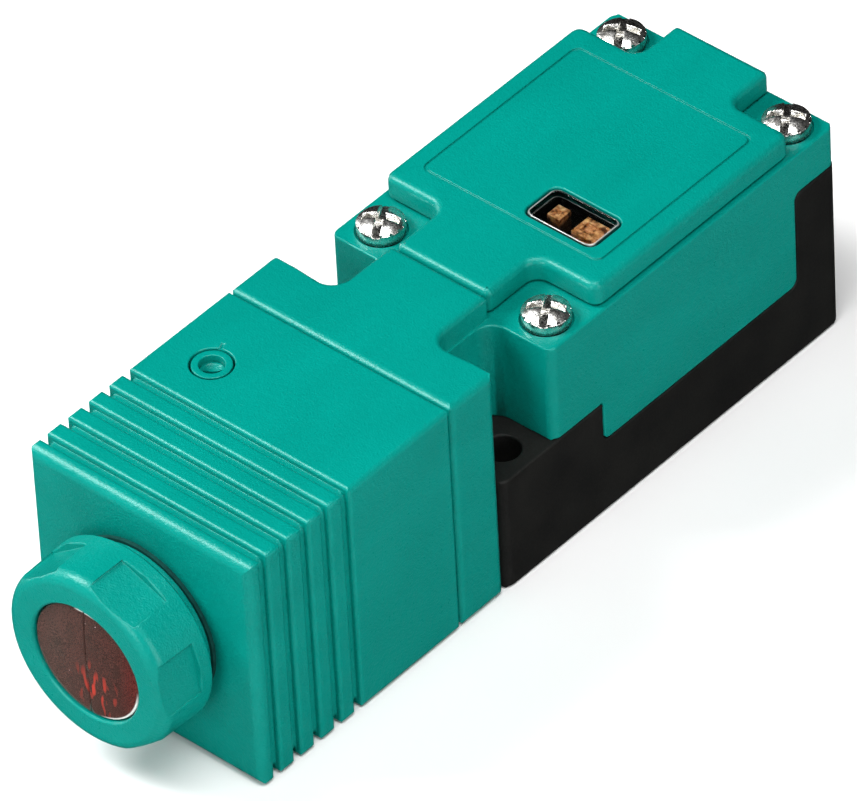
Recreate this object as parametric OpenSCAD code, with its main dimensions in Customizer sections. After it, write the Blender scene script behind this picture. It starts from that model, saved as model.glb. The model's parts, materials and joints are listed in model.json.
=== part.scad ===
// Block-style photoelectric sensor with a plug-in electronics module.
// Millimetres. +Z is up, the lens looks along -Y, +X is the sensor's right side.
// The origin is on the mounting face, at the centre of the 30 x 60 mm fixing pattern.

/* [Body] */
// Width of head, housing and base
body_w = 40; // [39:0.5:41]
// Height of the head above the mounting face
head_h = 40; // [39.5:0.5:41]
// Length of the ribbed hood
hood_len = 40.7; // [38:0.1:44]
// Height of the deck that the four screw heads stand on
deck_z = 36; // [35.5:0.5:36.5]
// Wall thickness of the mouldings
wall = 2.2; // [1.8:0.1:2.4]

/* [Ribs] */
// Number of grooves round the front of the hood
groove_count = 5; // [2:1:6]
// Distance from one groove to the next
groove_pitch = 4.15; // [3.6:0.05:4.3]
// Width of each groove
groove_w = 1.2; // [0.8:0.1:1.6]
// Depth of each groove
groove_deep = 0.9; // [0.4:0.1:1.1]

/* [Lens cap] */
// Outside radius of the cap
cap_r = 14.5; // [14:0.1:15]
// Front face of the cap ahead of the head's front face
cap_reach = 12.1; // [11.8:0.1:13]
// Radius of the opening that shows the lens
lens_opening_r = 9.5; // [9.4:0.1:9.8]
// Number of grip flats
flat_count = 6; // [4:1:8]

/* [Lid] */
// Engraved frame line width
line_w = 0.4; // [0.2:0.1:0.6]
// Window length across the sensor
window_w = 12.8; // [10:0.1:13]
// Window length along the sensor
window_l = 7.4; // [6:0.1:7.6]

/* [Screws] */
// Screw head diameter
screw_head_d = 7; // [6.6:0.1:7.4]
// Screw head height
screw_head_h = 2.8; // [2.4:0.1:3]

/* [Hidden] */

$fn = 64;
half = body_w / 2;
eps = 0.02;
arc_steps = 8;

// Stations along the sensor
face_y = -86.5;
hood_y = face_y + hood_len;
neck_y = hood_y + 0.25;
neck_rear_y = -36.3;
neck_edge_r = 1.3;
base_y = -36;
base_end_y = 36.2;
front_y = -24.9;
rear_y = 35.95;
step_front_y = -14.5;
step_rear_y = 27.1;
tongue_end_y = -24.7;

// Heights of the parting line between housing and base, and the gap it keeps
front_line_z = 19.5;
side_line_z = 12.6;
rear_line_z = 29.1;
line_gap = 0.1;

// Fixing holes and housing screws
fix_x = 15;
fix_y = 30;
fix_hole_r = 2.65;
screw_x = 15;
screw_front_y = -19.8;
screw_rear_y = 31.5;
shank_r = 2;
insert_bore_r = 2.05;
insert_r = 2.9;
insert_len = 8;

// Optical axis and the threaded nose it runs through
axis_z = 20.4;
boss_r = 12.4;
cap_bore_r = 12.45;
boss_bore_r = 10.5;
cap_gap = 2.4;
boss_len = cap_gap + 5.4;
cap_len = cap_reach - cap_gap;
lip = 1.5;
lens_r = lens_opening_r - 0.2;

// Cable entry
entry_z = 14;
entry_r = 9.2;

// Lid
lid_z = deck_z + 0.35;
lid_top_z = head_h;
lid_roof = 1.8;
lid_x = 19.3;
lid_front_y = -14.3;
lid_rear_y = 27.2;
tab_x = 8.4;
tab_front_y = -24.3;
tab_rear_y = 35.7;
window_x = 7.2;
window_y = -4.8;

// Board level
board_z = 31;
board_t = 1.6;
board_x = 17.2;
board_front_y = -13.6;
board_rear_y = 25.6;
contact_y = -4.5;
contact_count = 5;
contact_pitch = 6.1;

// Tips of the screws that hold the hood
hood_screw_y = -52.6;

// Adjuster in the top of the hood
adj_x = -11.6;
adj_y = -58.4;

green = [0.0, 0.56, 0.50];
black = [0.12, 0.12, 0.11];
rubber = [0.05, 0.05, 0.05];
nickel = [0.80, 0.80, 0.77];
brass = [0.78, 0.62, 0.30];
board_green = [0.05, 0.30, 0.15];
amber = [0.85, 0.52, 0.20];
lens_red = [0.35, 0.12, 0.10, 0.85];

// ---------- outline helpers ----------

function unit(v) = v / norm(v);

// Points of one rounded corner; p holds [x, y, radius].
function corner(prev, p, next) =
    let (a = unit([prev[0] - p[0], prev[1] - p[1]]),
         b = unit([next[0] - p[0], next[1] - p[1]]),
         half_angle = acos(max(-1, min(1, a * b))) / 2,
         mid = unit(a + b),
         centre = [p[0], p[1]] + mid * (p[2] / sin(half_angle)),
         from = [p[0], p[1]] + a * (p[2] / tan(half_angle)) - centre,
         to = [p[0], p[1]] + b * (p[2] / tan(half_angle)) - centre,
         start = atan2(from[1], from[0]),
         turn = atan2(to[1], to[0]) - start,
         sweep = turn > 180 ? turn - 360 : (turn < -180 ? turn + 360 : turn))
    p[2] <= 0 ? [[p[0], p[1]]]
              : [for (i = [0:arc_steps]) centre + p[2] * [cos(start + sweep * i / arc_steps),
                                                          sin(start + sweep * i / arc_steps)]];

function rounded(pts) =
    let (n = len(pts))
    [for (i = [0:n - 1]) each corner(pts[(i + n - 1) % n], pts[i], pts[(i + 1) % n])];

// Mirrors a right-hand outline across X = 0 to close it.
function both_sides(pts) =
    concat(pts, [for (i = [len(pts) - 1:-1:0]) [-pts[i][0], pts[i][1], pts[i][2]]]);

module rect2(x0, y0, x1, y1, r = 0) {
    polygon(rounded([[x0, y0, r], [x1, y0, r], [x1, y1, r], [x0, y1, r]]));
}

// Extrudes a plan outline from z0 to z1.
module plan(z0, z1) {
    translate([0, 0, z0])
        linear_extrude(z1 - z0)
            children();
}

// Extrudes a side view, drawn as (y, z), from x0 to x1.
module side(x0, x1) {
    translate([x0, 0, 0])
        rotate([90, 0, 90])
            linear_extrude(x1 - x0)
                children();
}

// Extrudes a front view, drawn as (x, z), from y0 to y1.
module front(y0, y1) {
    translate([0, y1, 0])
        rotate([90, 0, 0])
            linear_extrude(y1 - y0)
                children();
}

module box(x0, x1, y0, y1, z0, z1) {
    translate([x0, y0, z0])
        cube([x1 - x0, y1 - y0, z1 - z0]);
}

module rod(x, y, z0, z1, r) {
    translate([x, y, z0])
        cylinder(h = z1 - z0, r = r);
}

// Cylinder along the optical direction: starts at y0 and reaches forward to y1 (y1 < y0).
module forward(x, z, y0, y1, r) {
    translate([x, y0, z])
        rotate([90, 0, 0])
            cylinder(h = y0 - y1, r = r);
}

module at_contacts() {
    for (i = [0:contact_count - 1])
        translate([(i - (contact_count - 1) / 2) * contact_pitch, 0, 0])
            children();
}

// ---------- terminal base ----------

module base_profile() {
    polygon(rounded([[base_y, 0, 0.6], [base_end_y, 0, 2.4],
                     [base_end_y, rear_line_z - line_gap, 0.5],
                     [step_rear_y + line_gap, rear_line_z - line_gap, 1.2],
                     [step_rear_y + line_gap, side_line_z - line_gap, 1.6],
                     [step_front_y - line_gap, side_line_z - line_gap, 1.2],
                     [step_front_y - line_gap, front_line_z - line_gap, 0.3],
                     [base_y, front_line_z - line_gap, 0.4]]));
}

module gasket_ring(x, y0, y1, w) {
    difference() {
        rect2(-x, y0, x, y1, 1);
        rect2(-x + w, y0 + w, x - w, y1 - w, 0.6);
    }
}

module gasket_path(rise, sink) {
    difference() {
        offset(delta = rise)
            base_profile();
        offset(delta = -sink)
            base_profile();
        // the outer walls below the parting line carry none
        translate([base_y - 5, -5])
            square([base_end_y - base_y + 10, side_line_z + 3]);
        translate([step_rear_y + 3, -5])
            square([10, rear_line_z + 3]);
    }
}

module terminal_base() {
    color(black)
    difference() {
        intersection() {
            side(-half, half)
                base_profile();
            plan(-1, head_h)
                rect2(-half, base_y, half, base_end_y, 1.6);
        }
        // wiring compartment, open upwards, round the columns of the rear inserts
        difference() {
            box(-17.6, 17.6, step_front_y + 0.5, step_rear_y + line_gap, 2.8, head_h);
            for (s = [-1, 1])
                rod(s * fix_x, fix_y, 0, side_line_z - line_gap, 5.4);
        }
        box(-10.3, 10.3, -22.6, step_front_y + 1, 2.8, head_h);
        box(-9.4, 9.4, -33.6, -22, 2.8, 17);
        // front fixing holes with screw-head seats
        for (s = [-1, 1]) {
            rod(s * fix_x, -fix_y, -1, head_h, fix_hole_r);
            rod(s * fix_x, fix_y, -1, 9.5, 3.4);
            rod(s * screw_x, screw_front_y, front_line_z - line_gap - 10, head_h, insert_r);
            rod(s * screw_x, screw_rear_y, rear_line_z - line_gap - 9, head_h, insert_r);
        }
        // cable entry
        forward(0, entry_z, base_end_y + 1, step_rear_y - 1, entry_r);
        // groove for the gasket
        intersection() {
            side(-half + 0.4, half - 0.4)
                gasket_path(1, 1);
            plan(0, head_h)
                gasket_ring(19.3, -24.2, 35.5, 0.9);
        }
    }
}

module base_gasket() {
    color(rubber)
    intersection() {
        side(-half + 0.4, half - 0.4)
            gasket_path(line_gap - eps, 1 - eps);
        plan(0, head_h)
            gasket_ring(19.3 - eps, -24.2 + eps, 35.5 - eps, 0.9 - 2 * eps);
    }
}

module insert(x, y, top_z, r, bore_r, length) {
    difference() {
        rod(x, y, top_z - length, top_z, r);
        rod(x, y, top_z - length - 1, top_z + 1, bore_r);
        translate([x, y, top_z - length / 2 - 0.5])
            difference() {
                cylinder(h = 1, r = r + 1);
                translate([0, 0, -1])
                    cylinder(h = 3, r = r - 0.3);
            }
    }
}

module housing_inserts() {
    color(brass)
    for (s = [-1, 1]) {
        insert(s * screw_x, screw_front_y, front_line_z - line_gap - 0.2, insert_r, insert_bore_r,
               insert_len);
        insert(s * screw_x, screw_rear_y, rear_line_z - line_gap - 0.2, insert_r, insert_bore_r,
               insert_len);
    }
}

module fixing_inserts() {
    color(brass)
    for (s = [-1, 1])
        insert(s * fix_x, fix_y, 8.2, 3.4, 2.1, 8);
}

// ---------- terminals ----------

module terminal_block() {
    color([0.72, 0.72, 0.70])
    difference() {
        plan(2.8, 11.4)
            rect2(-15.8, -6.6, 15.8, 8, 0.8);
        at_contacts() {
            // screw and clamp cell, open to the rear for the wire
            box(-2.5, 2.5, -1.4, 9, 5.4, 12);
            rod(0, 2.2, 3.6, 6, 1.6);
            // socket pocket
            box(-1.8, 1.8, contact_y - 1.3, contact_y + 1.3, 4.4, 12);
        }
    }
}

module terminal_clamps() {
    color(nickel)
    at_contacts()
        difference() {
            plan(7, 8)
                rect2(-2.3, -1.1, 2.3, 6.4, 0.4);
            rod(0, 2.2, 6, 9, 1.65);
        }
}

module terminal_screws() {
    color(nickel)
    at_contacts()
        difference() {
            union() {
                rod(0, 2.2, 4, 8.1, 1.5);
                rod(0, 2.2, 8.05, 10.2, 2.3);
            }
            box(-3, 3, 1.8, 2.6, 9.4, 11);
        }
}

module contact_sockets() {
    color(brass)
    at_contacts()
        difference() {
            box(-1.7, 1.7, contact_y - 1.2, contact_y + 1.2, 4.5, 11.2);
            box(-1.2, 1.2, contact_y - 0.6, contact_y + 0.6, 5.3, 12);
        }
}

module contact_pins() {
    color(nickel)
    at_contacts()
        union() {
            box(-0.95, 0.95, contact_y - 0.35, contact_y + 0.35, 6.5, board_z);
            box(-1.6, 1.6, contact_y - 0.8, contact_y + 0.8, 15.2, 18);
        }
}

// ---------- module housing ----------

module housing_profile() {
    polygon(rounded([[front_y, front_line_z, 0.3], [step_front_y, front_line_z, 0.3],
                     [step_front_y, side_line_z, 1.2], [step_rear_y, side_line_z, 1.6],
                     [step_rear_y, rear_line_z, 1.2], [rear_y, rear_line_z, 0.3],
                     [rear_y, deck_z, 0.3], [front_y, deck_z, 0.3]]));
}

// Narrow bridge between neck and housing, filleted at both ends.
module bridge_plan(x, y_end, r) {
    polygon(rounded(both_sides([[half - 4, neck_rear_y - 1, 0], [half - 4, neck_rear_y, 0],
                                [x, neck_rear_y, r], [x, y_end, 0]])));
}

module web_plan() {
    polygon(rounded(both_sides([[half - 4, neck_rear_y - 1, 0], [half - 4, neck_rear_y, 0],
                                [9, neck_rear_y, 3], [9, front_y, 3], [half - 4, front_y, 0],
                                [half - 4, front_y + 1, 0]])));
}

module neck_block() {
    intersection() {
        plan(0, head_h)
            polygon(rounded(both_sides([[half, neck_y, neck_edge_r], [half, neck_rear_y, 1.4]])));
        front(neck_y - 1, neck_rear_y + 1)
            rect2(-half, 0, half, head_h, 1.1);
        side(-half, half)
            polygon(rounded([[neck_y, 0, neck_edge_r], [neck_rear_y, 0, 0.4],
                             [neck_rear_y, head_h, 0.4], [neck_y, head_h, neck_edge_r]]));
    }
}

module screw_places(front_only = false) {
    for (s = [-1, 1]) {
        translate([s * screw_x, screw_front_y, 0])
            children();
        if (!front_only)
            translate([s * screw_x, screw_rear_y, 0])
                children();
    }
}

module module_housing() {
    color(green)
    difference() {
        union() {
            difference() {
                union() {
                    neck_block();
                    // spigot that the hood slides over
                    front(neck_y - 5.5, neck_y + 2)
                        rect2(-17.5, 2.5, 17.5, head_h - 2.5, 1.2);
                    plan(front_line_z + 0.1, deck_z)
                        web_plan();
                    plan(deck_z - 1, head_h)
                        bridge_plan(8.7, tongue_end_y, 3);
                    intersection() {
                        side(-half, half)
                            housing_profile();
                        plan(0, head_h)
                            rect2(-half, front_y, half, rear_y, 1.5);
                    }
                }
                // neck and spigot interior
                box(-15.4, 15.4, neck_y - 8, neck_y - 2, 4.6, head_h - 4.6);
                box(-17, 17, neck_y, neck_rear_y - wall, 2.6, head_h - 2.6);
                box(-9, 9, neck_y - 3, neck_y + 1, 9, head_h - 7);
                // passage through the bridge
                box(-6.4, 6.4, neck_rear_y - wall - 1, front_y + wall + 1, 23, deck_z - 2.4);
                // electronics space
                box(-17.8, 17.8, front_y + wall, rear_y - wall, 5, deck_z - 2.4);
                // opening under the lid, wider at the indicator
                box(-12.6, 12.6, -12, 24, deck_z - 3, deck_z + 1);
                box(0, 14, -8.4, 1, deck_z - 3, deck_z + 1);
            }
            // sleeves for the four screws
            intersection() {
                union() {
                    screw_places()
                        rod(0, 0, 5, deck_z - 1, 3.9);
                    for (s = [-1, 1]) {
                        box(s > 0 ? screw_x : -half + 1, s > 0 ? half - 1 : -screw_x,
                            screw_front_y - 2, screw_front_y + 2, 5, deck_z - 1);
                        rod(s * 14.8, -10.4, board_z + board_t, deck_z - 1, 2.2);
                        rod(s * 14.8, 23.2, board_z + board_t, deck_z - 1, 2.2);
                    }
                }
                side(-half + 0.5, half - 0.5)
                    housing_profile();
            }
        }
        screw_places() {
            rod(0, 0, 5, head_h, 2.25);
            rod(0, 0, deck_z - 0.5, head_h, screw_head_d / 2 + 0.25);
        }
        // board screw pilots
        for (s = [-1, 1]) {
            rod(s * 14.8, -10.4, board_z, deck_z - 0.7, 1.2);
            rod(s * 14.8, 23.2, board_z, deck_z - 0.7, 1.2);
        }
        // holes in the spigot wall for the hood screws
        hood_screw_places()
            forward(0, 0, neck_y + 1, neck_y - 3, 1.5);
    }
}

module screw_seals() {
    color(rubber)
    screw_places()
        difference() {
            rod(0, 0, deck_z - 0.5, deck_z - 0.2, screw_head_d / 2 - 0.1);
            rod(0, 0, deck_z - 1, deck_z + 1, 2.25);
        }
}

// ---------- lid ----------

module lid_plan() {
    polygon(rounded(both_sides([[tab_x, tab_front_y, 1.1], [tab_x, lid_front_y, 2.2],
                                [lid_x, lid_front_y, 1.6], [lid_x, lid_rear_y, 1.6],
                                [tab_x, lid_rear_y, 2.2], [tab_x, tab_rear_y, 0.8]])));
}

module lid_spigot(w) {
    rect2(-12.4 + w, 1.8 + w, 12.4 - w, 23.8 - w, 1);
}

module window_plan(grow) {
    rect2(window_x - window_w / 2 - grow, window_y - window_l / 2 - grow,
          window_x + window_w / 2 + grow, window_y + window_l / 2 + grow, 1.6 + grow / 2);
}

module cover_lid() {
    color(green)
    difference() {
        union() {
            difference() {
                plan(lid_z, lid_top_z)
                    lid_plan();
                plan(lid_z - 1, lid_top_z - lid_roof)
                    offset(delta = -2.4)
                        lid_plan();
            }
            plan(deck_z - 2.2, lid_top_z - lid_roof + 0.1)
                difference() {
                    lid_spigot(0);
                    lid_spigot(1.4);
                }
        }
        // frame line round the label area
        plan(lid_top_z - 0.25, lid_top_z + 1)
            difference() {
                rect2(-16.2, -10.1, 16.2, 23.3, 1.4);
                rect2(-16.2 + line_w, -10.1 + line_w, 16.2 - line_w, 23.3 - line_w, 1.1);
            }
        plan(deck_z, head_h + 1)
            window_plan(0);
        // room for the window's flange behind the roof
        plan(deck_z - 3, lid_top_z - lid_roof)
            window_plan(1);
    }
}

module lid_gasket() {
    color(rubber)
    plan(deck_z, lid_z)
        difference() {
            offset(delta = -0.7)
                lid_plan();
            offset(delta = -2)
                lid_plan();
        }
}

module indicator_window() {
    color([0.75, 0.78, 0.78, 0.35])
    union() {
        plan(lid_top_z - lid_roof - 0.1, lid_top_z - 0.05)
            window_plan(-0.2);
        plan(lid_top_z - lid_roof - 0.8, lid_top_z - lid_roof - 0.02)
            window_plan(0.7);
    }
}

// The amber blocks stand under the window as [x0, x1, y0, y1].
lights = [[2.5, 4.7, -5, -2.5], [7.4, 12.3, -5.6, -2]];
lights_top_z = 36.9;

module indicator_frame() {
    color(black)
    difference() {
        plan(board_z + board_t, lid_top_z - lid_roof - 0.85)
            rect2(0.15, -8.3, 13.8, 0.8, 0.8);
        plan(lights_top_z - 3, head_h)
            rect2(1, -7.5, 13, 0, 0.6);
        for (a = lights)
            box(a[0] - 0.1, a[1] + 0.1, a[2] - 0.1, a[3] + 0.1, board_z, head_h);
    }
}

module indicator_lights() {
    color(amber)
    for (a = lights)
        difference() {
            box(a[0], a[1], a[2], a[3], board_z + board_t, lights_top_z);
            box(a[0] + 0.8, a[1] - 0.8, a[2] + 0.8, a[3] - 0.8, lights_top_z - 0.3, head_h);
        }
}

// ---------- electronics ----------

module board_screw_places() {
    for (s = [-1, 1])
        for (y = [-10.4, 23.2])
            translate([s * 14.8, y, 0])
                children();
}

module main_board() {
    color(board_green)
    difference() {
        plan(board_z, board_z + board_t - eps)
            rect2(-board_x, board_front_y, board_x, board_rear_y, 0.6);
        board_screw_places()
            rod(0, 0, board_z - 1, board_z + 3, 1.3);
    }
}

module board_screws() {
    color(nickel)
    board_screw_places()
        difference() {
            union() {
                rod(0, 0, board_z - 1.6, board_z - eps, 2.1);
                rod(0, 0, board_z - 0.5, board_z + 3.6, 1.1);
            }
            box(-0.3, 0.3, -1.6, 1.6, board_z - 2, board_z - 0.9);
            box(-1.6, 1.6, -0.3, 0.3, board_z - 2, board_z - 0.9);
        }
}

module electronics_tray() {
    color(black)
    difference() {
        plan(13.6, board_z - eps)
            rect2(-board_x, board_front_y, board_x, board_rear_y, 0.8);
        plan(15, board_z + 1)
            rect2(-board_x + 1.3, board_front_y + 1.3, board_x - 1.3, board_rear_y - 1.3, 0.6);
        at_contacts()
            box(-1.15, 1.15, contact_y - 0.55, contact_y + 0.55, 12, 16);
        // corners cut away for the board screws
        for (s = [-1, 1])
            for (y = [board_front_y - 1, board_rear_y - 5.6])
                box(s > 0 ? 12.4 : -18, s > 0 ? 18 : -12.4, y, y + 6.6, board_z - 2, board_z + 1);
    }
}

module output_relay() {
    color([0.10, 0.20, 0.45])
    union() {
        plan(19.6, board_z - 0.6)
            rect2(-14.6, 4.2, 0.6, 20.4, 0.8);
        for (x = [-12.6, -7, -1.4])
            for (y = [6, 18.6])
                rod(x, y, board_z - 0.7, board_z - eps, 0.4);
    }
}

module capacitors() {
    color([0.20, 0.20, 0.24])
    for (p = [[6, 8, 3.6], [6, 16.5, 3.6], [12.4, 12, 2.2]])
        difference() {
            rod(p[0], p[1], 20.5, board_z - eps, p[2]);
            box(p[0] - p[2], p[0] + p[2], p[1] - 0.15, p[1] + 0.15, 20, 20.7);
            box(p[0] - 0.15, p[0] + 0.15, p[1] - p[2], p[1] + p[2], 20, 20.7);
        }
}

module control_chip() {
    color([0.10, 0.10, 0.11])
    union() {
        box(-11, -3, 4, 12, board_z + board_t + 0.1, board_z + board_t + 1.4);
        for (i = [0:6])
            for (x = [-12.2, -3.1])
                box(x, x + 1.3, 4.6 + i * 1.1, 5 + i * 1.1, board_z + board_t, board_z + board_t + 0.5);
    }
}

// Flat strip from the head board to the main board, drawn as a side view.
module flex_strip() {
    color([0.75, 0.42, 0.12])
    side(-4, 4)
        polygon(rounded([[-62.6, 22, 0], [-62.3, 22, 0], [-62.3, 26.5, 1.2], [-15, 26.5, 1.2],
                         [-15, 32.6, 0.8], [-11, 32.6, 0], [-11, 32.9, 0], [-15.3, 32.9, 1.1],
                         [-15.3, 26.8, 0.9], [-62.6, 26.8, 1.5]]));
}

// ---------- head ----------

// Ribs and the plain rear stretch, drawn as (distance from centre line, y).
module rib_outline(low, high, r_front) {
    first = face_y + 3.1;
    ends = [for (i = [0:groove_count - 1]) first + i * groove_pitch];
    union() {
        polygon([[face_y + 2, low + groove_deep], [hood_y - 1, low + groove_deep],
                 [hood_y - 1, high - groove_deep], [face_y + 2, high - groove_deep]]);
        // front rib with the rounded rim
        polygon(rounded([[face_y, low, r_front], [ends[0] - groove_w / 2, low, 0.7],
                         [ends[0] - groove_w / 2, high, 0.7], [face_y, high, r_front]]));
        for (i = [0:groove_count - 2])
            polygon(rounded([[ends[i] + groove_w / 2, low, 0.7],
                             [ends[i + 1] - groove_w / 2, low, 0.7],
                             [ends[i + 1] - groove_w / 2, high, 0.7],
                             [ends[i] + groove_w / 2, high, 0.7]]));
        polygon(rounded([[ends[groove_count - 1] + groove_w / 2, low, 0.7], [hood_y, low, 0.4],
                         [hood_y, high, 0.4],
                         [ends[groove_count - 1] + groove_w / 2, high, 0.7]]));
    }
}

module hood_screw_places() {
    for (x = [-12.6, 12.6])
        for (z = [8, head_h - 8])
            translate([x, 0, z])
                children();
}

module head_hood() {
    color(green)
    difference() {
        union() {
            difference() {
                intersection() {
                    side(-half, half)
                        rib_outline(0, head_h, 1.7);
                    plan(-1, head_h + 1)
                        mirror([1, -1])
                            rib_outline(-half, half, 1.5);
                    front(face_y - 1, hood_y + 1)
                        rect2(-half, 0, half, head_h, 0.9);
                }
                front(face_y + 2.6, hood_y + 1)
                    rect2(-17.8, wall, 17.8, head_h - wall, 0.8);
            }
            // threaded nose for the cap
            forward(0, axis_z, face_y + 1, face_y - boss_len, boss_r);
            // screw bosses, tied to the side walls ahead of the spigot
            hood_screw_places() {
                forward(0, 0, neck_y - 2.1, hood_screw_y - 2, 2.6);
            }
            for (s = [-1, 1])
                for (z = [8, head_h - 8])
                    box(s > 0 ? 13 : -half + 1.5, s > 0 ? half - 1.5 : -13, hood_screw_y - 2,
                        neck_y - 6, z - 1, z + 1);
            // collar that holds the adjuster bezel
            rod(adj_x, adj_y, head_h - 4.4, head_h - 1, 4.4);
        }
        forward(0, axis_z, face_y + 5, face_y - boss_len - 1, boss_bore_r);
        hood_screw_places()
            forward(0, 0, neck_y, hood_screw_y - 0.5, 1.25);
        // seat and hole for the adjuster
        rod(adj_x, adj_y, head_h - 5, head_h + 1, 2.4);
        rod(adj_x, adj_y, head_h - 3, head_h + 1, 3.2);
        // index notch behind the adjuster
        translate([adj_x, adj_y, 0])
            rotate([0, 0, 21])
                box(-0.25, 0.25, 3, 4.4, head_h - 0.3, head_h + 1);
    }
}

module adjuster_bezel() {
    color([0.0, 0.42, 0.38])
    difference() {
        union() {
            rod(adj_x, adj_y, head_h - 2.95, head_h - 0.1, 2.9);
            rod(adj_x, adj_y, head_h - 4.9, head_h - 2.9, 2.35);
        }
        rod(adj_x, adj_y, head_h - 6, head_h + 1, 1.85);
    }
}

module adjuster_rotor() {
    color([0.0, 0.50, 0.45])
    difference() {
        rod(adj_x, adj_y, head_h - 6.9, head_h - 1.3, 1.8);
        translate([adj_x, adj_y, head_h + 1.4])
            sphere(r = 3.1);
        translate([adj_x, adj_y, 0])
            rotate([0, 0, 40])
                box(-1.3, 1.3, -0.25, 0.25, head_h - 2.4, head_h);
    }
}

module adjuster_body() {
    color([0.15, 0.30, 0.60])
    union() {
        difference() {
            box(adj_x - 3.3, adj_x + 3.3, adj_y - 3.3, adj_y + 3.3, head_h - 11.5, head_h - 6.2);
            rod(adj_x, adj_y, head_h - 7.1, head_h, 2.1);
        }
        for (x = [-2.5, 0, 2.5])
            box(adj_x + x - 0.2, adj_x + x + 0.2, -62.6, adj_y - 3.2, head_h - 10, head_h - 9.6);
    }
}

module head_seal() {
    color(rubber)
    front(hood_y + eps, neck_y - eps)
        difference() {
            rect2(-half + 1.75, 1.75, half - 1.75, head_h - 1.75, 1);
            rect2(-17.55, 2.45, 17.55, head_h - 2.45, 1);
        }
}

module hood_screws() {
    color(nickel)
    hood_screw_places()
        difference() {
            union() {
                forward(0, 0, neck_y + 1.7, neck_y + eps, 2.3);
                forward(0, 0, neck_y + 0.5, hood_screw_y, 1.2);
            }
            box(-0.3, 0.3, neck_y + 0.9, neck_y + 3, -1.6, 1.6);
            box(-1.6, 1.6, neck_y + 0.9, neck_y + 3, -0.3, 0.3);
        }
}

module head_board() {
    color(board_green)
    difference() {
        front(-64.2, -62.65)
            rect2(-17.5, 4.5, 17.5, head_h - 4.6, 0.8);
        // corner holes
        for (x = [-15, 15])
            for (z = [7.5, head_h - 7.5])
                forward(x, z, -62, -65, 1.2);
    }
}

module optics_tube() {
    color([0.07, 0.07, 0.07])
    difference() {
        union() {
            forward(0, axis_z, -64.3, face_y - 3.6, boss_bore_r - 0.3);
            front(-66, -64.25)
                rect2(-11.5, axis_z - 11.5, 11.5, axis_z + 11.5, 1);
        }
        difference() {
            forward(0, axis_z, -66.5, face_y - 5, boss_bore_r - 1.4);
            box(-0.5, 0.5, -95, -60, 0, head_h);
        }
        for (s = [-1, 1])
            translate([s * 5, 0, axis_z])
                box(-2.8, 2.8, -68, -60, -2.8, 2.8);
    }
}

module emitter_led() {
    color([0.85, 0.25, 0.22])
    union() {
        box(-7.2, -2.8, -65.4, -64.25, axis_z - 2.2, axis_z + 2.2);
        forward(-5, axis_z, -65.3, -67.4, 1.6);
        translate([-5, -67.4, axis_z])
            sphere(r = 1.6);
    }
}

module receiver_diode() {
    color([0.14, 0.13, 0.18])
    union() {
        box(2.6, 7.4, -65.5, -64.25, axis_z - 2.4, axis_z + 2.4);
        box(3.4, 6.6, -65.8, -65.45, axis_z - 1.6, axis_z + 1.6);
    }
}

// ---------- lens cap ----------

cap_y = face_y - cap_gap;

// Puts local +Z along the optical direction, starting at the cap's rear face.
module on_axis() {
    translate([0, cap_y, axis_z])
        rotate([90, 0, 0])
            children();
}

module lens_cap() {
    collar_r = cap_r + 0.15;
    edge_r = 2;
    rim = [for (i = [0:12]) [cap_r - edge_r + edge_r * cos(i * 7.5),
                             cap_len - edge_r + edge_r * sin(i * 7.5)]];
    color(green)
    on_axis()
        difference() {
            rotate_extrude()
                polygon(concat([[cap_bore_r, 0], [collar_r - 0.4, 0], [collar_r, 0.4]], rim,
                               [[lens_opening_r + 0.25, cap_len],
                                [lens_opening_r, cap_len - 0.25],
                                [lens_opening_r, cap_len - lip], [cap_bore_r, cap_len - lip]]));
            // sunk grip flats, from just ahead of the rear rim out through the front edge
            for (i = [0:flat_count - 1])
                rotate([0, 0, 8 + i * 360 / flat_count])
                    translate([cap_r * cos(17) - 0.25, -cap_r * sin(17), 2.4])
                        cube([3, 2 * cap_r * sin(17), cap_len]);
        }
}

module cap_seal() {
    color(rubber)
    difference() {
        forward(0, axis_z, face_y - eps, face_y - 0.6, 12.9);
        forward(0, axis_z, face_y + 1, cap_y - 1, boss_r + 0.02);
    }
}

module lens_carrier() {
    color([0.07, 0.07, 0.07])
    on_axis()
        difference() {
            union() {
                translate([0, 0, 6.2])
                    cylinder(h = cap_len - lip - 6.2 - eps, r = cap_bore_r - 0.35);
                translate([0, 0, 2.6])
                    cylinder(h = 4, r = boss_bore_r - 0.35);
            }
            difference() {
                translate([0, 0, 1])
                    cylinder(h = 12, r = lens_r + eps);
                translate([-0.13, -15, 0])
                    cube([0.26, 30, 20]);
            }
        }
}

module lens_seal() {
    color(rubber)
    on_axis()
        translate([0, 0, 5.45])
            difference() {
                cylinder(h = 0.73, r = cap_bore_r - 0.35);
                translate([0, 0, -1])
                    cylinder(h = 3, r = boss_bore_r - 0.3);
            }
}

// One half of the lens; s is -1 for the left half and 1 for the right.
module lens_half(s) {
    dome_r = 150;
    lens_front = cap_len - 0.2;
    color(lens_red)
    on_axis()
        intersection() {
            translate([0, 0, 4])
                cylinder(h = lens_front - 4, r = lens_r);
            translate([0, 0, lens_front - dome_r])
                sphere(r = dome_r, $fn = 180);
            // the halves meet in front of the web that parts them
            union() {
                translate([s > 0 ? 0.15 : -20, -20, 0])
                    cube([19.85, 40, 30]);
                translate([s > 0 ? 0.06 : -20, -20, cap_len - lip + 0.15])
                    cube([19.94, 40, 30]);
            }
        }
}

module emitter_lens() {
    lens_half(-1);
}

module receiver_lens() {
    lens_half(1);
}

// ---------- housing screws ----------

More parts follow.
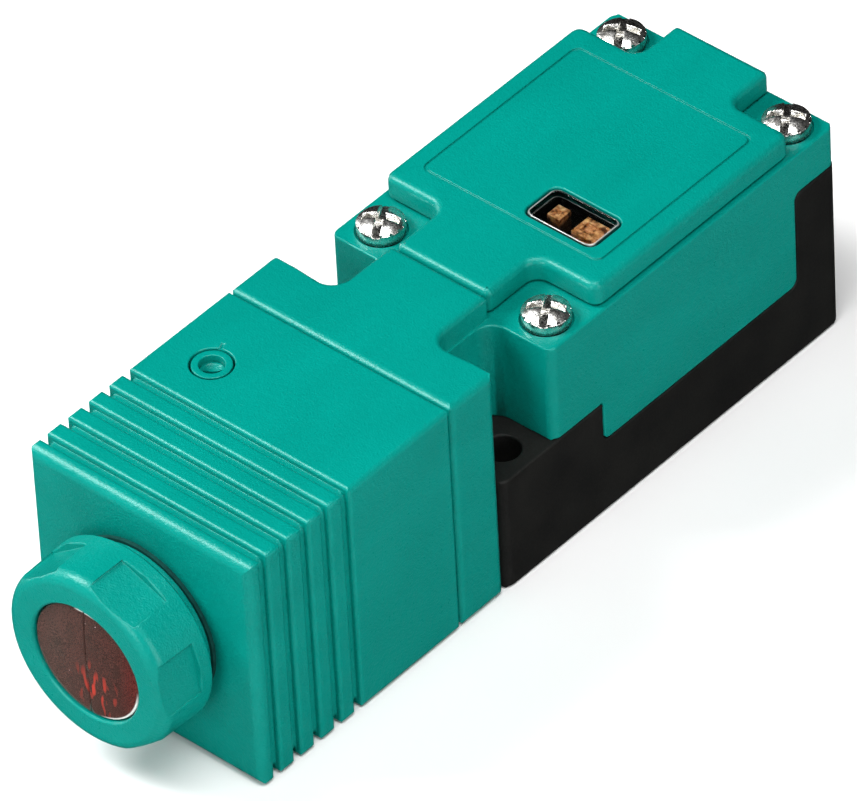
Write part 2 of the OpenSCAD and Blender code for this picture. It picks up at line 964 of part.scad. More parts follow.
module housing_screw(x, y, tip_z, turn) {
    dome_r = 5.8;
    head_z = deck_z - 0.18;
    top_z = head_z + screw_head_h;
    color(nickel)
    translate([x, y, 0])
        rotate([0, 0, turn])
            difference() {
                union() {
                    rod(0, 0, tip_z, head_z + 0.2, shank_r);
                    intersection() {
                        rod(0, 0, head_z, top_z, screw_head_d / 2);
                        translate([0, 0, top_z - dome_r])
                            sphere(r = dome_r, $fn = 96);
                    }
                }
                // combined cross and slot recess
                box(-0.6, 0.6, -screw_head_d, screw_head_d, top_z - 1.35, head_h);
                box(-2.7, 2.7, -0.6, 0.6, top_z - 1.9, head_h);
            }
}

module screw_front_left() {
    housing_screw(-screw_x, screw_front_y, 12.4, 28);
}

module screw_front_right() {
    housing_screw(screw_x, screw_front_y, 12.4, 33);
}

module screw_rear_left() {
    housing_screw(-screw_x, screw_rear_y, 21.6, 30);
}

module screw_rear_right() {
    housing_screw(screw_x, screw_rear_y, 21.6, 34);
}

terminal_base();
base_gasket();
housing_inserts();
fixing_inserts();
terminal_block();
terminal_clamps();
terminal_screws();
contact_sockets();
module_housing();
cover_lid();
lid_gasket();
indicator_window();
indicator_frame();
indicator_lights();
main_board();
output_relay();
capacitors();
control_chip();
board_screws();
electronics_tray();
contact_pins();
screw_seals();
head_hood();
head_seal();
hood_screws();
head_board();
emitter_led();
receiver_diode();
optics_tube();
flex_strip();
adjuster_body();
adjuster_bezel();
adjuster_rotor();
cap_seal();
lens_carrier();
lens_seal();
emitter_lens();
receiver_lens();
lens_cap();
screw_front_left();
screw_front_right();
screw_rear_left();
screw_rear_right();
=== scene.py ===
"""The finished look of a photoelectric sensor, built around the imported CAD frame.

Every moulded part is a copy of its CAD solid with clean faces and rounded edges, because a
moulding has no sharp edge. Every material is procedural and works in the row frame, so its
grain has a real size. Bare lengths are in millimetres; MM turns them into metres. Light
places and sizes are in metres.
"""
import json
import math

import bmesh
import bpy
import numpy as np
from mathutils import Matrix, Vector
from mathutils.bvhtree import BVHTree
from mathutils.geometry import delaunay_2d_cdt


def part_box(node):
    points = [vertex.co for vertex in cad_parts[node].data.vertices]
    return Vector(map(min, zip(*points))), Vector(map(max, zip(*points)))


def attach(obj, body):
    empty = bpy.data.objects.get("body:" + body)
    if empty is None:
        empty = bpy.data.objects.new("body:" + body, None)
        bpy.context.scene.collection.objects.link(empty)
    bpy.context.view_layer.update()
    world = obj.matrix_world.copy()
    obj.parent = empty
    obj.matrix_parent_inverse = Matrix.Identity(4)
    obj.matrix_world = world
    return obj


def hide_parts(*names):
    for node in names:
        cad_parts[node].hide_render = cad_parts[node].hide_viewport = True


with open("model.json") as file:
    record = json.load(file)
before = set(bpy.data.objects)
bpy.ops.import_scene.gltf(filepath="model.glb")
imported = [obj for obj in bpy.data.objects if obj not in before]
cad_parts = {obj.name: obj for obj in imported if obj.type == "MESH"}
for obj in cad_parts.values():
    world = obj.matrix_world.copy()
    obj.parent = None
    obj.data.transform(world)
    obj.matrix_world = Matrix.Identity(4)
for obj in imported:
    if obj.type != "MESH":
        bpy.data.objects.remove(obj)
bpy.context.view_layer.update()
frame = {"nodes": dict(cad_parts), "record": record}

MM = 0.001
NODE_BODY = {
    node: body
    for body, nodes in frame["record"]["behaviour"]["bodies"].items()
    for node in nodes
}
LID_LOW, LID_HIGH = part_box("cover_lid")
HOOD_LOW, HOOD_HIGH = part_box("head_hood")
FACE_Y = HOOD_HIGH.y / MM - 40.7
NECK_END = -35.0
WINDOW_FLANGE = 0.9
LENS_R = 9.3
ENGRAVED_X = 17
ENGRAVED_Y = (-11, 24)
RAY_START = 0.02
FLAG_AXIS = (-0.51, 0.545, 0.664)
WALL_STRENGTH = 0.95
FLOOR_DROP = 0.2
SCREWS = [node for node in NODE_BODY if node.startswith("screw_")]


# ---------- materials ----------

class Finish:
    """One Principled material, and short calls that add procedural detail to it."""

    def __init__(self, name, **uniform):
        self.mat = bpy.data.materials.new(name)
        self.mat.use_nodes = True
        self.tree = self.mat.node_tree
        self.shader = self.tree.nodes["Principled BSDF"]
        self.place = self.tree.nodes.new("ShaderNodeTexCoord").outputs["Object"]
        self.normal = None
        for socket, value in uniform.items():
            self.shader.inputs[socket.replace("_", " ")].default_value = value

    def add(self, kind, **values):
        node = self.tree.nodes.new(kind)
        for key, value in values.items():
            if hasattr(node, key):
                setattr(node, key, value)
            else:
                node.inputs[key].default_value = value
        return node

    def link(self, a, b):
        self.tree.links.new(a, b)

    def noise(self, size_mm, detail=2.0, stretch=None, place=None):
        """Noise with features about size_mm across, from 0 to 1."""
        node = self.add("ShaderNodeTexNoise", Scale=1 / (size_mm * MM), Detail=detail)
        source = place or self.place
        if stretch:
            mapping = self.add("ShaderNodeMapping", Scale=stretch)
            self.link(source, mapping.inputs["Vector"])
            source = mapping.outputs["Vector"]
        self.link(source, node.inputs["Vector"])
        return node.outputs["Fac"]

    def ramp(self, factor, *stops):
        """Colour ramp through (position, colour or grey) stops."""
        node = self.add("ShaderNodeValToRGB")
        elements = node.color_ramp.elements
        while len(elements) < len(stops):
            elements.new(0.5)
        for element, (position, colour) in zip(elements, stops):
            element.position = position
            rgb = (colour,) * 3 if isinstance(colour, float) else colour
            element.color = (*rgb, 1.0)
        self.link(factor, node.inputs["Fac"])
        return node.outputs["Color"]

    def mix(self, factor, a, b):
        node = self.add("ShaderNodeMix", data_type="RGBA")
        for socket, value in ((node.inputs[0], factor), (node.inputs[6], a), (node.inputs[7], b)):
            if isinstance(value, bpy.types.NodeSocket):
                self.link(value, socket)
            elif isinstance(value, float):
                socket.default_value = value
            else:
                socket.default_value = (*value, 1.0)
        return node.outputs[2]

    def distance(self, point, weights, reach_mm):
        """Distance from a point of the row frame, from 0 to 1 at reach_mm."""
        away = self.add("ShaderNodeVectorMath", operation="SUBTRACT")
        away.inputs[1].default_value = point
        self.link(self.place, away.inputs[0])
        scaled = self.add("ShaderNodeVectorMath", operation="MULTIPLY")
        scaled.inputs[1].default_value = [w / (reach_mm * MM) for w in weights]
        self.link(away.outputs[0], scaled.inputs[0])
        length = self.add("ShaderNodeVectorMath", operation="LENGTH")
        self.link(scaled.outputs[0], length.inputs[0])
        return length.outputs["Value"]

    def times(self, a, b):
        node = self.add("ShaderNodeMath", operation="MULTIPLY")
        self.link(a, node.inputs[0])
        self.link(b, node.inputs[1])
        return node.outputs[0]

    def colour(self, output):
        self.link(output, self.shader.inputs["Base Color"])

    def roughness(self, factor, low, high):
        node = self.add("ShaderNodeMapRange")
        node.inputs["To Min"].default_value = low
        node.inputs["To Max"].default_value = high
        self.link(factor, node.inputs["Value"])
        self.link(node.outputs["Result"], self.shader.inputs["Roughness"])

    def bump(self, height, depth_mm, strength=1.0):
        """Relief of depth_mm, on top of any relief added before."""
        node = self.add("ShaderNodeBump", Strength=strength, Distance=depth_mm * MM)
        self.link(height, node.inputs["Height"])
        if self.normal:
            self.link(self.normal, node.inputs["Normal"])
        self.normal = node.outputs["Normal"]
        self.link(self.normal, self.shader.inputs["Normal"])


def moulded_green(name, deep, light):
    """Glass-filled PBT: satin, with a fine spark-eroded grain and faint flow marks."""
    f = Finish(name, IOR=1.5, Specular_IOR_Level=0.3, Specular_Tint=(0.35, 1.0, 0.95, 1.0),
               Coat_Weight=0.18, Coat_Roughness=0.2)
    flow = f.noise(9, 3, stretch=(1.0, 0.35, 1.0))
    speck = f.noise(0.3, 3)
    base = f.ramp(flow, (0.3, deep), (0.7, light))
    f.colour(f.mix(f.ramp(speck, (0.35, 0.0), (0.75, 0.25)), base, light))
    f.roughness(f.noise(0.5, 4), 0.22, 0.38)
    f.bump(f.noise(0.28, 3), 0.09)
    f.bump(f.noise(0.8, 2), 0.07)
    f.bump(f.noise(4, 2), 0.03)
    return f.mat


def moulded_black():
    f = Finish("black_moulding", IOR=1.5, Specular_IOR_Level=0.14)
    cloud = f.noise(7, 3)
    f.colour(f.mix(f.ramp(f.noise(0.25, 3), (0.4, 0.0), (0.8, 0.5)),
                   f.ramp(cloud, (0.3, (0.005, 0.005, 0.005)), (0.7, (0.010, 0.010, 0.009))),
                   (0.022, 0.022, 0.021)))
    f.roughness(f.noise(0.5, 3), 0.45, 0.62)
    f.bump(f.noise(0.2, 2), 0.02)
    return f.mat


def grey_moulding():
    f = Finish("grey_moulding", IOR=1.5)
    f.colour(f.ramp(f.noise(5, 3), (0.3, (0.42, 0.42, 0.40)), (0.7, (0.50, 0.50, 0.48))))
    f.roughness(f.noise(0.5, 3), 0.4, 0.55)
    f.bump(f.noise(0.2, 2), 0.012)
    return f.mat


def rubber(name, dark, light):
    f = Finish(name, IOR=1.48, Specular_IOR_Level=0.15)
    f.colour(f.ramp(f.noise(1.2, 4), (0.3, dark), (0.8, light)))
    f.roughness(f.noise(0.4, 3), 0.6, 0.8)
    f.bump(f.noise(0.25, 3), 0.02)
    return f.mat


def plated(name, dark, light, low=0.1, high=0.3):
    """Plated metal with faint turning marks and dull patches."""
    f = Finish(name, Metallic=1.0)
    f.colour(f.ramp(f.noise(1.4, 4), (0.25, dark), (0.6, light)))
    f.roughness(f.noise(0.35, 4), low, high)
    f.bump(f.noise(0.7, 3), 0.05)
    f.bump(f.noise(0.08, 1, stretch=(1.0, 1.0, 0.1)), 0.003)
    return f.mat


def clear_window():
    """Clear acrylic with a thin dark border with round corners, painted shade for the opening's
    shadowed walls.
    """
    f = Finish("clear_window", IOR=1.49)
    low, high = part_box("indicator_window")
    middle, half = (low + high) / 2, (high - low) / 2
    sides = []
    for axis in (0, 1):
        weights = [1.0 if i == axis else 0.0 for i in range(3)]
        away = f.distance(middle, weights, half[axis] / MM - WINDOW_FLANGE)
        sides.append(f.ramp(away, (0.72, 1.0), (1.0, 0.0)))
    inside = f.ramp(f.times(*sides), (0.12, 0.0), (0.3, 1.0))
    tint = f.ramp(f.noise(3, 2), (0.3, (0.90, 0.92, 0.90)), (0.7, (0.97, 0.98, 0.97)))
    # Painted shade: the border is dark green, as the opening's walls look in shadow.
    f.colour(f.mix(inside, (0.003, 0.030, 0.026), tint))
    f.link(inside, f.shader.inputs["Transmission Weight"])
    f.roughness(f.noise(0.8, 3), 0.02, 0.08)
    f.bump(f.noise(2, 2), 0.01)
    return f.mat


def red_lens():
    """Dark red acrylic with painted glow and shade, red by the right edge and paler brown-grey
    to the left, and painted red glints low in the middle.

    Painted highlights make the edge pale low on the right and at the top; painted pale specks
    are scattered over the face.
    """
    f = Finish("red_lens", IOR=1.5, Coat_Weight=0.5, Coat_Roughness=0.04)
    low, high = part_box("lens_cap")
    middle = (low + high) / 2
    # Painted glow and shade: red by the right edge, dark next to it, paler brown-grey to the
    # left.
    to_right = f.distance(Vector((middle.x + 9 * MM, 0.0, middle.z)), (1.0, 0.0, 0.25), 15)
    painted_glow_and_tone = f.ramp(to_right, (0.04, (0.13, 0.010, 0.009)), (0.22, (0.046, 0.022, 0.018)),
                   (1.0, (0.085, 0.068, 0.058)))
    cloud = f.ramp(f.noise(3.5, 3), (0.3, (0.03, 0.022, 0.018)), (0.7, (0.09, 0.030, 0.025)))
    grain = f.ramp(f.noise(0.2, 2), (0.35, (0.0, 0.004, 0.004)), (0.75, (0.17, 0.070, 0.06)))
    # Random cloud and fine grain, the lens's own tone, are mixed over the painted glow and shade.
    painted_glow_and_tone = f.mix(0.35, f.mix(0.4, painted_glow_and_tone, cloud), grain)
    # Painted reflection: bright red glints low in the middle of the lens.
    painted_glint_at = Vector((middle.x + 1.6 * MM, 0.0, middle.z - 4.4 * MM))
    near_painted_glint = f.ramp(f.distance(painted_glint_at, (1.0, 0.0, 0.8), 4.6), (0.25, 1.0), (1.0, 0.0))
    glint_tongues = f.ramp(f.noise(2.1, 1, stretch=(2.3, 1.0, 0.6)), (0.54, 0.0), (0.64, 1.0))
    body = f.mix(f.times(glint_tongues, near_painted_glint), painted_glow_and_tone, (0.40, 0.045, 0.032))
    # Painted glints: scattered small pale specks over the lens.
    body = f.mix(f.ramp(f.noise(0.6, 0), (0.855, 0.0), (0.87, 1.0)), body, (0.8, 0.6, 0.6))
    # Painted highlights: the lens edge is pale low on the right and at the top.
    rim = f.ramp(f.distance(Vector((middle.x, 0.0, middle.z)), (1.0, 0.0, 1.0), LENS_R),
                 (0.955, 0.0), (0.975, 1.0))
    for x, z, reach in ((0.75, -0.66, 6.0), (0.02, 1.0, 2.0)):
        highlight_at = Vector((middle.x + x * LENS_R * MM, 0.0, middle.z + z * LENS_R * MM))
        painted_highlight = f.ramp(f.distance(highlight_at, (1.0, 0.0, 1.0), reach), (0.6, 1.0), (1.0, 0.0))
        body = f.mix(f.times(rim, painted_highlight), body, (0.75, 0.75, 0.72))
    f.colour(body)
    f.roughness(f.noise(1.5, 3), 0.03, 0.10)
    f.bump(f.noise(2.5, 2), 0.03)
    return f.mat


def amber_block():
    f = Finish("amber_block", IOR=1.49, Subsurface_Weight=0.4, Subsurface_Scale=0.0015)
    f.shader.inputs["Subsurface Radius"].default_value = (1.0, 0.5, 0.2)
    speckled = f.ramp(f.noise(0.8, 5), (0.36, (0.10, 0.03, 0.008)), (0.5, (0.60, 0.24, 0.08)),
                      (0.68, (0.95, 0.58, 0.28)))
    top = Vector((0.0, 0.0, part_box("indicator_lights")[1].z))
    shade = f.ramp(f.distance(top, (0.0, 0.0, 1.0), 2.0), (0.15, 0.0), (0.6, 0.92))
    f.colour(f.mix(shade, speckled, (0.012, 0.004, 0.002)))
    f.roughness(f.noise(0.6, 4), 0.2, 0.5)
    f.bump(f.noise(0.7, 4), 0.25)
    return f.mat


def circuit_board():
    f = Finish("circuit_board", IOR=1.5, Coat_Weight=0.4, Coat_Roughness=0.15)
    tracks = f.add("ShaderNodeTexBrick", Scale=320.0)
    f.link(f.place, tracks.inputs["Vector"])
    f.colour(f.mix(tracks.outputs["Fac"],
                   f.ramp(f.noise(2, 3), (0.3, (0.008, 0.09, 0.035)), (0.7, (0.012, 0.13, 0.05))),
                   (0.03, 0.2, 0.09)))
    f.roughness(f.noise(0.6, 3), 0.25, 0.4)
    f.bump(tracks.outputs["Fac"], 0.03)
    return f.mat


def component(name, dark, light, low, high):
    """Small painted or moulded electronic component."""
    f = Finish(name, IOR=1.5)
    f.colour(f.ramp(f.noise(1.5, 4), (0.3, dark), (0.7, light)))
    f.roughness(f.noise(0.4, 3), low, high)
    f.bump(f.noise(0.2, 3), 0.01)
    return f.mat


MATERIALS = {
    "green_pbt": moulded_green("green_moulding", (0.0, 0.192, 0.158), (0.0, 0.218, 0.180)),
    "black_plastic": moulded_black(),
    "grey_plastic": grey_moulding(),
    "black_rubber": rubber("black_rubber_seal", (0.006, 0.006, 0.006), (0.016, 0.016, 0.017)),
    "nickel": plated("nickel_plate", (0.50, 0.48, 0.44), (0.92, 0.91, 0.88), 0.14, 0.40),
    "brass": plated("brass", (0.50, 0.34, 0.12), (0.78, 0.60, 0.28), 0.2, 0.4),
    "window_clear": clear_window(),
    "lens_red": red_lens(),
    "amber": amber_block(),
    "board": circuit_board(),
    "relay_blue": component("blue_component", (0.015, 0.04, 0.14), (0.02, 0.06, 0.2), 0.3, 0.45),
    "capacitor_sleeve": component("capacitor_sleeve", (0.02, 0.02, 0.04), (0.04, 0.04, 0.07),
                                  0.25, 0.4),
    "led_red": component("red_emitter", (0.35, 0.02, 0.015), (0.6, 0.05, 0.03), 0.1, 0.25),
    "flex": component("flex_strip", (0.30, 0.12, 0.02), (0.42, 0.19, 0.04), 0.25, 0.4),
}


# The seal behind the cap is painted a dark green as shade, so the gap between cap and hood looks
# shadowed.
CAP_SEAL_SHADE = rubber("seal_painted_shade", (0.001, 0.035, 0.030), (0.003, 0.060, 0.050))


def slot_of(node):
    """The record's material slot of a CAD node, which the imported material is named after."""
    return frame["nodes"][node].data.materials[0].name


# ---------- rounded copies of the mouldings ----------

WELD = 2e-6
NO_LENGTH = 1e-7
FIN_PASSES = 6
FLAT_DEG = 0.6
SHARP_DEG = 28
SMOOTH_DEG = 50
FLAT_SHARE = 0.45
LEAST_ROUNDING = 0.02
LEVEL_COS = 0.9995


def edge_angle(edge):
    return edge.calc_face_angle(0.0) if len(edge.link_faces) == 2 else 0.0


def merge_flats(bm):
    """Merges coplanar triangles, numbers each flat in a face layer and returns its normals."""
    bmesh.ops.dissolve_limit(bm, angle_limit=math.radians(FLAT_DEG), verts=bm.verts,
                             edges=bm.edges, delimit=set())
    number = bm.faces.layers.int.new("flat")
    normals = []
    for start in bm.faces:
        if start[number]:
            continue
        normals.append(start.normal.copy())
        start[number] = len(normals)
        stack = [start]
        while stack:
            face = stack.pop()
            for edge in face.edges:
                for other in edge.link_faces:
                    if not other[number] and edge_angle(edge) < math.radians(FLAT_DEG):
                        other[number] = len(normals)
                        stack.append(other)
    return normals


def refill_flats(mesh, normals):
    """Fills each flat again from its outline, since rounding has moved the outline's points.

    Faces made by the bevel carry material 1 and stay as they are.
    """
    bm = bmesh.new()
    bm.from_mesh(mesh)
    bmesh.ops.remove_doubles(bm, verts=bm.verts, dist=WELD / 2)
    bm.normal_update()
    number = bm.faces.layers.int["flat"]
    flats = {}
    for face in bm.faces:
        if face.material_index == 0 and face.normal.dot(normals[face[number] - 1]) > LEVEL_COS:
            flats.setdefault(face[number], []).append(face)
    for index, faces in flats.items():
        members = set(faces)
        outline = [loop for face in faces for loop in face.loops
                   if not any(g in members and g is not face for g in loop.edge.link_faces)]
        if len(outline) > 4:
            fill_outline(bm, outline, normals[index - 1], faces)
    bmesh.ops.delete(bm, geom=[e for e in bm.edges if not e.link_faces], context="EDGES")
    bmesh.ops.remove_doubles(bm, verts=bm.verts, dist=WELD / 2)
    close_gaps(bm)
    bm.to_mesh(mesh)
    bm.free()


def close_gaps(bm):
    """Removes faces with no area and stray fins, then fills the pinholes that are left."""
    bmesh.ops.dissolve_degenerate(bm, dist=NO_LENGTH, edges=bm.edges)
    for _ in range(FIN_PASSES):
        fins = [f for f in bm.faces if any(e.is_boundary for e in f.edges)
                and any(len(e.link_faces) > 2 for e in f.edges)]
        if not fins:
            break
        bmesh.ops.delete(bm, geom=fins, context="FACES")
    bmesh.ops.holes_fill(bm, edges=[e for e in bm.edges if e.is_boundary], sides=0)


def fill_outline(bm, outline, normal, faces):
    """Replaces faces by triangles inside their directed outline, which may have holes.

    A triangle's place is kept where the outline winds round it, and turned over where it
    winds the other way. Where rounding made the outline cross itself, both edges are split
    at the crossing, so the faces beside them stay joined.
    """
    pairs = [(loop.vert, loop.link_loop_next.vert) for loop in outline]
    rims = [loop.edge for loop in outline]
    verts = list(dict.fromkeys(v for pair in pairs for v in pair))
    at = {v: i for i, v in enumerate(verts)}
    u, w = plane_axes(normal)
    level = sum(v.co.dot(normal) for v in verts) / len(verts)
    points = [Vector((v.co.dot(u), v.co.dot(w))) / MM for v in verts]
    edges = [(at[p], at[q]) for p, q in pairs]
    found, parts, triangles, origins, sources, _ = delaunay_2d_cdt(points, edges, [], 0, 1e-6)
    a = np.array([points[i][:] for i, _ in edges])
    b = np.array([points[j][:] for _, j in edges])
    rise = b[:, 1] - a[:, 1]
    keep = []
    for face in triangles:
        x, y = sum((found[i] for i in face), Vector((0, 0))) / 3
        crosses = (a[:, 1] > y) != (b[:, 1] > y)
        at_x = a[crosses, 0] + (y - a[crosses, 1]) * (b - a)[crosses, 0] / rise[crosses]
        turns = np.sign(rise[crosses])[at_x > x].sum()
        if turns:
            keep.append((face, turns > 0))
    if not keep:
        return
    corners = [verts[o[0]] if o else None for o in origins]
    on_rim = {}
    for part, source in zip(parts, sources):
        for rim in source:
            on_rim.setdefault(rim, set()).update(part)
    for rim, inner in on_rim.items():
        start, end = pairs[rim]
        inner = [i for i in inner if corners[i] not in (start, end)
                 and not {at[start], at[end]} & set(origins[i])]
        inner.sort(key=lambda i: (found[i] - points[at[start]]).length)
        edge = rims[rim]
        for i in inner:
            edge, vert = bmesh.utils.edge_split(edge, start, 0.5)
            vert.co = (u * found[i].x + w * found[i].y) * MM + normal * level
            edge = next(e for e in vert.link_edges if end in e.verts)
            start = vert
            corners[i] = corners[i] or vert
    bmesh.ops.delete(bm, geom=faces, context="FACES_ONLY")
    for face, upright in keep:
        p, q, r = (corners[i] for i in face)
        if ((q.co - p.co).cross(r.co - p.co).dot(normal) < 0) == upright:
            q, r = r, q
        if len({p, q, r}) == 3 and not bm.faces.get((p, q, r)):
            bm.faces.new((p, q, r))


def plane_axes(normal):
    u = normal.orthogonal().normalized()
    return u, normal.cross(u)


def room_for_rounding(bm, normals):
    """For each sharp edge, the widest rounding in mm that its two flats have room for.

    Rays in the plane of the flat, square to the edge, find the flat's opposite side. Edges
    that face the inside of a hollow get none, because nobody sees them.
    """
    number = bm.faces.layers.int["flat"]
    outlines = {}
    for face in bm.faces:
        for loop in face.loops:
            if not any(g is not face and g[number] == face[number]
                       for g in loop.edge.link_faces):
                outlines.setdefault(face[number], []).append(loop)
    room = {}
    for index, loops in outlines.items():
        u, w = plane_axes(normals[index - 1])
        flat = lambda v: (v.co.dot(u) / MM, v.co.dot(w) / MM)
        a = np.array([flat(loop.vert) for loop in loops])
        b = np.array([flat(loop.link_loop_next.vert) for loop in loops])
        side = b - a
        for k, loop in enumerate(loops):
            if edge_angle(loop.edge) < math.radians(SHARP_DEG):
                continue
            inward = np.array((-side[k, 1], side[k, 0])) / max(np.hypot(*side[k]), 1e-9)
            slope = inward[0] * side[:, 1] - inward[1] * side[:, 0]
            slope[np.abs(slope) < 1e-9] = 1e-9
            for share in (0.1, 0.5, 0.9):
                away = a - (a[k] + side[k] * share)
                t = (away[:, 0] * side[:, 1] - away[:, 1] * side[:, 0]) / slope
                across = (away[:, 0] * inward[1] - away[:, 1] * inward[0]) / slope
                hits = t[(t > 1e-3) & (across >= 0) & (across <= 1)]
                clear = hits.min() if len(hits) else 0.0
                room[loop.edge] = min(room.get(loop.edge, 1e9), FLAT_SHARE * clear)
    tree = BVHTree.FromBMesh(bm)
    for edge in room:
        outward = (edge.link_faces[0].normal + edge.link_faces[1].normal).normalized()
        middle = (edge.verts[0].co + edge.verts[1].co) / 2
        if tree.ray_cast(middle + outward * RAY_START * MM, outward)[0] is not None:
            room[edge] = 0.0
    return room


def refined(node, radius, rules=(), segments=3):
    """A copy of a CAD node with coplanar triangles merged and its edges rounded.

    radius is the usual edge radius in mm. Each rule is (test, radius): test takes the
    middle of an edge in mm, its direction and the edge, and the first that fits wins.
    """
    bm = bmesh.new()
    bm.from_mesh(frame["nodes"][node].data)
    bmesh.ops.remove_doubles(bm, verts=bm.verts, dist=WELD)
    normals = merge_flats(bm)
    widest = max([radius] + [r for _, r in rules])
    weight = bm.edges.layers.float.new("bevel_weight_edge")
    for edge, room in room_for_rounding(bm, normals).items():
        a, b = edge.verts[0].co / MM, edge.verts[1].co / MM
        size = next((r for test, r in rules if test((a + b) / 2, (b - a).normalized(), edge)),
                    radius)
        size = min(size, room)
        edge[weight] = size / widest if size > LEAST_ROUNDING else 0.0
    mesh = bpy.data.meshes.new(node + "_moulding")
    for face in bm.faces:
        face.material_index = 0
    bm.to_mesh(mesh)
    bm.free()
    return finished(node, mesh, normals, widest, segments)


def finished(node, mesh, normals, widest, segments):
    """Bevels a mesh by its edge weights, sets its shading and puts it in the node's place."""
    slot = slot_of(node)
    obj = bpy.data.objects.new(node + "_moulding", mesh)
    bpy.context.scene.collection.objects.link(obj)
    for _ in range(2):
        mesh.materials.append(MATERIALS[slot])
    bevel = obj.modifiers.new("rounding", "BEVEL")
    bevel.limit_method = "WEIGHT"
    bevel.width = widest * MM
    bevel.segments = segments
    bevel.material = 1
    bevel.use_clamp_overlap = False
    bpy.context.view_layer.update()
    rounded = bpy.data.meshes.new_from_object(
        obj.evaluated_get(bpy.context.evaluated_depsgraph_get()))
    obj.modifiers.clear()
    refill_flats(rounded, normals)
    obj.data = rounded
    rounded.materials.clear()
    rounded.materials.append(MATERIALS[slot])
    rounded.polygons.foreach_set("material_index", [0] * len(rounded.polygons))
    rounded.shade_smooth()
    rounded.set_sharp_from_angle(angle=math.radians(SMOOTH_DEG))
    weigh = obj.modifiers.new("even_shading", "WEIGHTED_NORMAL")
    weigh.keep_sharp = True
    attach(obj, NODE_BODY[node])
    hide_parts(node)
    return obj


def build_mouldings():
    refined("terminal_base", 0.35, [(on_neck_side, 0.9)])
    refined("module_housing", 0.35, [(on_neck_side, 0.9), (on_bridge_top, 0.9)])
    lid_top = LID_HIGH.z / MM - 0.01
    refined("cover_lid", 0.25, [
        (lambda p, d, e: p.z > lid_top and in_outline(p), 1.1),
        (lambda p, d, e: p.z > lid_top - 0.3 and not in_window(p), 0.07)])
    refined("head_hood", 0.22, [
        (lambda p, d, e: on_hood_corner(p) and abs(d.y) > 0.9, 1.2),
        (lambda p, d, e: on_hood_outline(p) and p.y < FACE_Y + 0.5, 1.0)])
    refined("lens_cap", 0.25, [(on_grip_flat, 0.08)])
    refined("adjuster_bezel", 0.15)
    refined("head_seal", 0.1)
    for node in ("emitter_lens", "receiver_lens"):
        refined(node, 0.22)
    refined("indicator_window", 0.45)
    for node in SCREWS:
        refined(node, 0.12)


def in_window(p):
    low, high = (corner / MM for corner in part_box("indicator_window"))
    return low.x - 1 < p.x < high.x + 1 and low.y - 1 < p.y < high.y + 1


def on_neck_side(p, d, edge):
    """The long outer edges of the neck and the upright ones beside the notches."""
    if abs(p.x) < HOOD_HIGH.x / MM - 2 or not HOOD_HIGH.y / MM < p.y < NECK_END:
        return False
    return abs(d.y) > 0.9 or abs(d.z) > 0.9


def on_bridge_top(p, d, edge):
    """The top outline of the bridge and of the neck's rear side."""
    return p.z > HOOD_HIGH.z / MM - 0.1 and p.y > NECK_END - 1.5 and abs(p.x) < 18.9


def on_hood_outline(p):
    """True within a millimetre of the hood's four outer sides."""
    return (abs(p.x) > HOOD_HIGH.x / MM - 1 or p.z > HOOD_HIGH.z / MM - 1
            or p.z < HOOD_LOW.z / MM + 1)


def on_hood_corner(p):
    return abs(p.x) > HOOD_HIGH.x / MM - 1 and (p.z > HOOD_HIGH.z / MM - 1
                                                or p.z < HOOD_LOW.z / MM + 1)


def on_grip_flat(p, d, edge):
    """The step round each grip flat, clear of the cap's front and rear rims."""
    low, high = (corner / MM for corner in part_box("lens_cap"))
    return low.y + 2.2 < p.y < high.y - 0.8


def in_outline(p):
    """True outside the lid's engraved frame, in plan."""
    return abs(p.x) > ENGRAVED_X or not ENGRAVED_Y[0] <= p.y <= ENGRAVED_Y[1]


def dress_cad_nodes():
    """Gives every CAD node that still shows its procedural material."""
    for node, obj in frame["nodes"].items():
        # cap_seal wears the dark green painted shade.
        finish = CAP_SEAL_SHADE if node == "cap_seal" else MATERIALS[slot_of(node)]
        obj.data.materials.clear()
        obj.data.materials.append(finish)


# ---------- stage, light and camera ----------

def area_light(name, place, target, size, watts):
    data = bpy.data.lights.new(name, "AREA")
    data.size = size
    data.energy = watts
    light = bpy.data.objects.new(name, data)
    bpy.context.scene.collection.objects.link(light)
    light.location = place
    light.rotation_euler = (Vector(target) - Vector(place)).to_track_quat("-Z", "Y").to_euler()


def studio_walls():
    """Pale walls, with a black flag where flat tops would mirror them, and dark below."""
    world = bpy.data.worlds.new("studio")
    world.use_nodes = True
    tree = world.node_tree
    place = tree.nodes.new("ShaderNodeTexCoord").outputs["Generated"]
    shades = []
    for axis, stops in ((FLAG_AXIS, ((0.55, 1.0), (0.85, 0.05))),
                        ((0.0, 0.0, 1.0), ((0.0, 0.02), (0.05, 1.0)))):
        dot = tree.nodes.new("ShaderNodeVectorMath")
        dot.operation = "DOT_PRODUCT"
        dot.inputs[1].default_value = axis
        tree.links.new(place, dot.inputs[0])
        ramp = tree.nodes.new("ShaderNodeMapRange")
        (low, from_low), (high, from_high) = stops
        ramp.inputs["From Min"].default_value = low
        ramp.inputs["From Max"].default_value = high
        ramp.inputs["To Min"].default_value = from_low
        ramp.inputs["To Max"].default_value = from_high
        tree.links.new(dot.outputs["Value"], ramp.inputs["Value"])
        shades.append(ramp.outputs["Result"])
    both = tree.nodes.new("ShaderNodeMath")
    both.operation = "MULTIPLY"
    tree.links.new(shades[0], both.inputs[0])
    tree.links.new(shades[1], both.inputs[1])
    strength = tree.nodes.new("ShaderNodeMath")
    strength.operation = "MULTIPLY"
    strength.inputs[1].default_value = WALL_STRENGTH
    tree.links.new(both.outputs[0], strength.inputs[0])
    tree.links.new(strength.outputs[0], tree.nodes["Background"].inputs["Strength"])
    return world


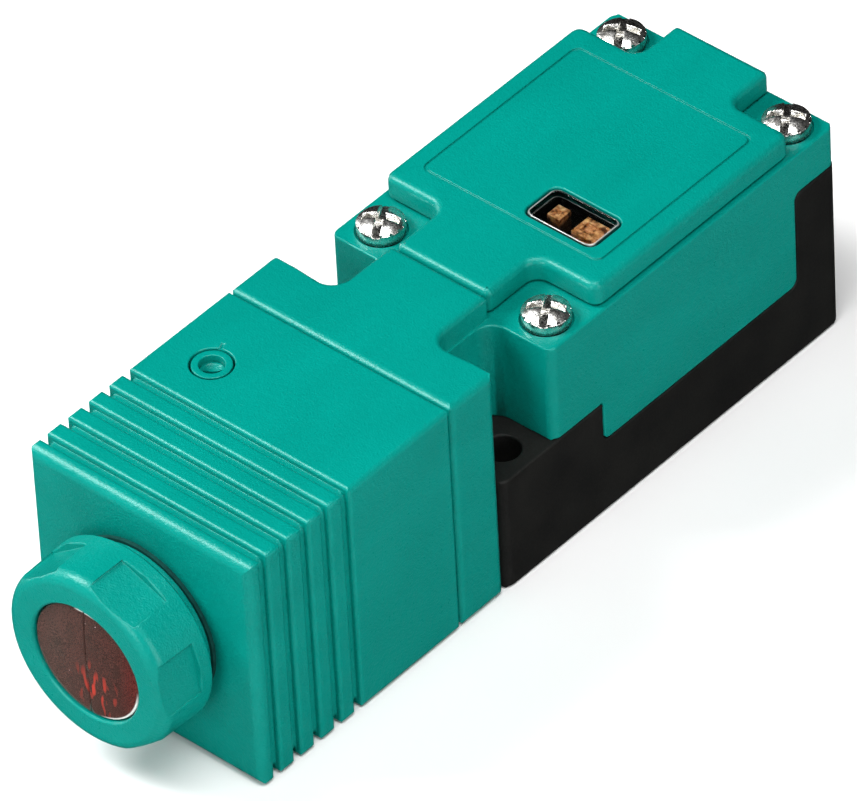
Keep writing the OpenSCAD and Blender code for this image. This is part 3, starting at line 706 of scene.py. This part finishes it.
def studio():
    mesh = bpy.data.meshes.new("floor")
    half = 3.0
    mesh.from_pydata([(-half, -half, 0), (half, -half, 0), (half, half, 0), (-half, half, 0)],
                     [], [(0, 1, 2, 3)])
    floor = bpy.data.objects.new("floor", mesh)
    bpy.context.scene.collection.objects.link(floor)
    floor.location.z = -FLOOR_DROP * MM
    f = Finish("pale_floor", IOR=1.3)
    f.colour(f.ramp(f.noise(60, 2), (0.3, (0.86, 0.86, 0.86)), (0.7, (0.90, 0.90, 0.90))))
    f.roughness(f.noise(20, 2), 0.85, 0.95)
    mesh.materials.append(f.mat)
    floor.visible_glossy = False
    bpy.context.scene.world = studio_walls()
    middle = (0.0, -0.025, 0.02)
    area_light("overhead", (0.25, -0.20, 0.95), middle, 0.6, 8.6)
    area_light("key", (-0.62, -0.42, 0.77), middle, 0.42, 13.0)
    area_light("front", (0.15, -1.0, 0.40), middle, 0.5, 4.8)
    area_light("left", (-1.0, -0.15, 0.12), middle, 0.5, 3.0)
    area_light("right", (0.90, -0.10, 0.30), middle, 0.5, 3.5)
    bpy.context.scene.view_settings.view_transform = "Standard"
    bpy.context.scene.view_settings.look = "None"


def camera():
    """The viewing angle: a long lens above the front right corner, very slightly rolled."""
    azimuth, elevation, roll = (math.radians(a) for a in (43.155, 41.607, -3.231))
    target = Vector((0.625, -28.922, 19.417)) * MM
    distance = 1630.4 * MM
    out = Vector((math.sin(azimuth) * math.cos(elevation),
                  -math.cos(azimuth) * math.cos(elevation), math.sin(elevation)))
    right = Vector((math.cos(azimuth), math.sin(azimuth), 0.0))
    up = right.cross(-out)
    x_axis = right * math.cos(roll) + up * math.sin(roll)
    y_axis = up * math.cos(roll) - right * math.sin(roll)
    data = bpy.data.cameras.new("camera")
    data.lens = 497.45
    data.sensor_width = 36.0
    data.clip_start = 0.1
    data.clip_end = 20.0
    cam = bpy.data.objects.new("camera", data)
    bpy.context.scene.collection.objects.link(cam)
    place = target + out * distance
    cam.matrix_world = Matrix((
        (x_axis.x, y_axis.x, out.x, place.x),
        (x_axis.y, y_axis.y, out.y, place.y),
        (x_axis.z, y_axis.z, out.z, place.z),
        (0, 0, 0, 1)))
    bpy.context.scene.camera = cam


build_mouldings()
dress_cad_nodes()
studio()
camera()
